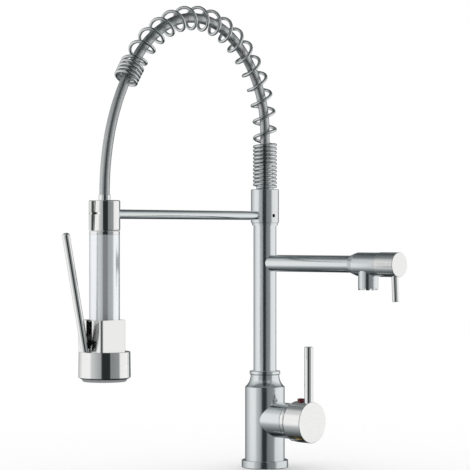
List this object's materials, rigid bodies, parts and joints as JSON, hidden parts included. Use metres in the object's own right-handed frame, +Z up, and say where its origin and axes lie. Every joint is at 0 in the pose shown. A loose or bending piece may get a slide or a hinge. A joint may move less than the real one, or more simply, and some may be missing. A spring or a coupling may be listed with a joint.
{
  "type": "pull-out kitchen faucet",
  "caption": "Kitchen mixer tap with a spring arch over a docked pull-out spray head, a swivelling pot filler spout and pin levers.",
  "frame": {"origin": "on the body's axis, at the underside of the base ring, which is the worktop's top", "axes": "+Z up along the body and column, -Y along the docking arm towards the user, +X towards the mixer handle and the pot filler"},
  "size_m": [0.223, 0.337, 0.578],
  "materials": {
    "brushed_steel": "fine brushed finish",
    "polished_chrome": "mirror polished",
    "spring_steel": "satin drawn wire",
    "stainless": "turned",
    "brass": "turned",
    "braided_hose": "fine stainless braid over rubber",
    "seal_rubber": "matt",
    "face_rubber": "soft matt grey",
    "pearl_grip": "silver white pearl gloss",
    "white_plastic": "moulded",
    "ceramic_disc": "lapped",
    "index_red": "dark red"
  },
  "bodies": {
    "base": {"faucet_body": "brushed_steel", "base_ring": "brushed_steel", "base_seal": "seal_rubber", "mounting_shank": "brass", "clamp_gasket": "seal_rubber", "clamp_washer": "stainless", "clamp_nut": "brass", "glide_rings": "white_plastic", "column_lock_screw": "stainless", "cartridge_housing": "white_plastic", "cartridge_seals": "seal_rubber", "fixed_disc": "ceramic_disc", "cartridge_nut": "brass", "cover_dome": "polished_chrome"},
    "mixer_carrier": {"lever_carrier": "white_plastic"},
    "mixer_disc": {"moving_disc": "ceramic_disc"},
    "mixer_handle": {"mixer_spindle": "stainless", "mixer_knob": "polished_chrome", "mixer_lever": "polished_chrome", "index_plug": "index_red", "mixer_grub_screw": "stainless"},
    "column": {"column_tube": "brushed_steel", "column_seals": "seal_rubber", "filler_tube": "brushed_steel", "filler_valve_body": "brushed_steel", "aerator_shell": "brushed_steel", "aerator_insert": "white_plastic", "filler_headwork": "brass", "hose_adapter": "brass"},
    "filler_handle": {"filler_disc": "ceramic_disc", "filler_spindle": "brass", "filler_knob": "polished_chrome", "filler_lever": "polished_chrome"},
    "dock": {"dock_collar": "brushed_steel", "collar_bush": "stainless", "collar_set_screw": "stainless", "docking_rod": "brushed_steel", "dock_clip": "polished_chrome", "clip_screw": "stainless", "hose_union": "polished_chrome", "hose_rise": "braided_hose", "hose_drop": "braided_hose", "arch_spring": "spring_steel"},
    "hose_end": {"hose_ferrule": "polished_chrome", "dock_cone": "polished_chrome", "cone_seal": "seal_rubber", "swivel_circlip": "stainless"},
    "spray_head": {"grip_ring": "polished_chrome", "grip_sleeve": "pearl_grip", "grip_core": "brass", "check_valve": "white_plastic", "spray_block": "polished_chrome", "pivot_pin": "stainless", "nozzle_ring": "polished_chrome", "nozzle_insert": "white_plastic", "spray_face": "face_rubber", "plunger_spring": "spring_steel"},
    "spray_lever": {"squeeze_rod": "polished_chrome", "lever_foot": "polished_chrome"},
    "spray_plunger": {"valve_plunger": "brass"}
  },
  "joints": [
    {"name": "column_swivel", "type": "hinge", "parent": "base", "child": "column", "pos_m": [0, 0, 0.09], "axis": [0, 0, 1], "continuous": true},
    {"name": "dock_swivel", "type": "hinge", "parent": "column", "child": "dock", "pos_m": [0, 0, 0.29], "axis": [0, 0, 1], "continuous": true},
    {"name": "filler_turn", "type": "hinge", "parent": "column", "child": "filler_handle", "pos_m": [0.169, 0, 0.232], "axis": [-1, 0, 0], "range_deg": [0, 90]},
    {"name": "mixer_temperature", "type": "hinge", "parent": "base", "child": "mixer_carrier", "pos_m": [0.028, 0, 0.0545], "axis": [1, 0, 0], "range_deg": [-45, 45]},
    {"name": "mixer_flow", "type": "hinge", "parent": "mixer_carrier", "child": "mixer_handle", "pos_m": [0.028, 0, 0.0545], "axis": [0, 1, 0], "range_deg": [0, 16]},
    {"name": "mixer_disc_slide", "type": "slide", "parent": "mixer_carrier", "child": "mixer_disc", "axis": [0, 0, 1], "range_m": [0, 0.0033]},
    {"name": "head_pull_out", "type": "slide", "parent": "dock", "child": "hose_end", "axis": [0, 0, -1], "range_m": [0, 0.08], "stiffness_N_per_m": 60, "springref_m": -0.25, "deforming": ["arch_spring", "hose_drop"]},
    {"name": "head_swivel", "type": "hinge", "parent": "hose_end", "child": "spray_head", "pos_m": [0, -0.25058, 0.26], "axis": [0, 0, 1], "continuous": true},
    {"name": "lever_squeeze", "type": "hinge", "parent": "spray_head", "child": "spray_lever", "pos_m": [0, -0.26858, 0.158], "axis": [-1, 0, 0], "range_deg": [0, 12], "stiffness_Nm_per_rad": 1.5, "springref_deg": -10.31},
    {"name": "plunger_slide", "type": "slide", "parent": "spray_head", "child": "spray_plunger", "axis": [0, 1, 0], "range_m": [0, 0.00155], "deforming": ["plunger_spring"]}
  ],
  "couplings": [
    {"joint": "mixer_disc_slide", "follows": "mixer_flow", "m_per_rad": 0.0116},
    {"joint": "plunger_slide", "follows": "lever_squeeze", "m_per_rad": 0.0073}
  ]
}
